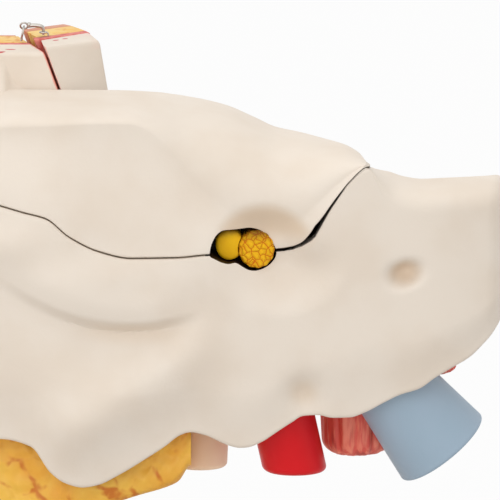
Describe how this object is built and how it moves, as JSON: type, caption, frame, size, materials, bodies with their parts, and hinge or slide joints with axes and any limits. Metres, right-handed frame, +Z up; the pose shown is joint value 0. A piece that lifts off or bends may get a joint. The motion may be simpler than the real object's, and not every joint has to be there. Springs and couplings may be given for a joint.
{
  "type": "anatomical ear model",
  "caption": "Enlarged dissectible ear model: lift-off temporal bone section, removable labyrinth and ossicles, canal and auricle on a base plate.",
  "frame": {"origin": "middle of the base plate's flat underside", "axes": "+X along the base towards the petrous apex, -Y towards the sculpted inner face of the bone, +Z up"},
  "size_m": [0.257, 0.1435, 0.2005],
  "materials": {
    "bone": "satin",
    "skin": "satin",
    "muscle": "satin",
    "fat": "satin",
    "nerve": "satin",
    "artery": "semi gloss",
    "auditory_tube": "satin",
    "cartilage": "satin",
    "styloid": "satin",
    "labyrinth": "satin",
    "ossicle": "satin",
    "eardrum": "satin",
    "stand": "smooth",
    "steel": "bright"
  },
  "bodies": {
    "stand": {"base_plate": "stand", "pedestal": "stand", "pedestal_screw_1": "steel", "pedestal_screw_2": "steel", "lower_bone": "bone", "front_wall_bone": "bone", "front_wall_muscle": "muscle", "front_wall_fat": "fat", "front_wall_skin": "skin", "locating_pin_1": "steel", "locating_pin_2": "steel", "locating_pin_3": "steel", "parotid_fat": "fat", "styloid_process": "styloid", "carotid_artery": "artery", "palate_muscle": "muscle", "auditory_tube": "auditory_tube", "tube_muscle": "muscle", "latch_catch_eye": "steel", "canal_lining": "skin", "canal_cartilage": "cartilage", "canal_fat": "fat", "head_skin_plate": "skin", "auricle": "skin"},
    "upper_section": {"upper_bone": "bone", "rear_wall_muscle": "muscle", "rear_wall_fat": "fat", "rear_wall_skin": "skin", "latch_screw_eye": "steel"},
    "latch": {"latch_hook": "steel"},
    "ossicle_set": {"eardrum": "eardrum", "malleus": "ossicle", "incus": "ossicle", "stapes": "ossicle"},
    "labyrinth": {"vestibule": "labyrinth", "superior_canal": "labyrinth", "posterior_canal": "labyrinth", "lateral_canal": "labyrinth", "cochlea": "labyrinth", "vestibulocochlear_nerve": "nerve", "facial_nerve": "nerve"}
  },
  "joints": [
    {"name": "upper_section_lift", "type": "slide", "parent": "stand", "child": "upper_section", "axis": [-0.342, 0, 0.9397], "range_m": [0, 0.08]},
    {"name": "latch_hook_swing", "type": "hinge", "parent": "upper_section", "child": "latch", "pos_m": [-0.00699, 0.0084, 0.18576], "axis": [0, -1, 0], "range_deg": [0, 110]},
    {"name": "ossicle_pull", "type": "slide", "parent": "stand", "child": "ossicle_set", "axis": [0, 1, 0], "range_m": [0, 0.045]},
    {"name": "labyrinth_pull", "type": "slide", "parent": "stand", "child": "labyrinth", "axis": [0, 1, 0], "range_m": [0, 0.07]}
  ]
}
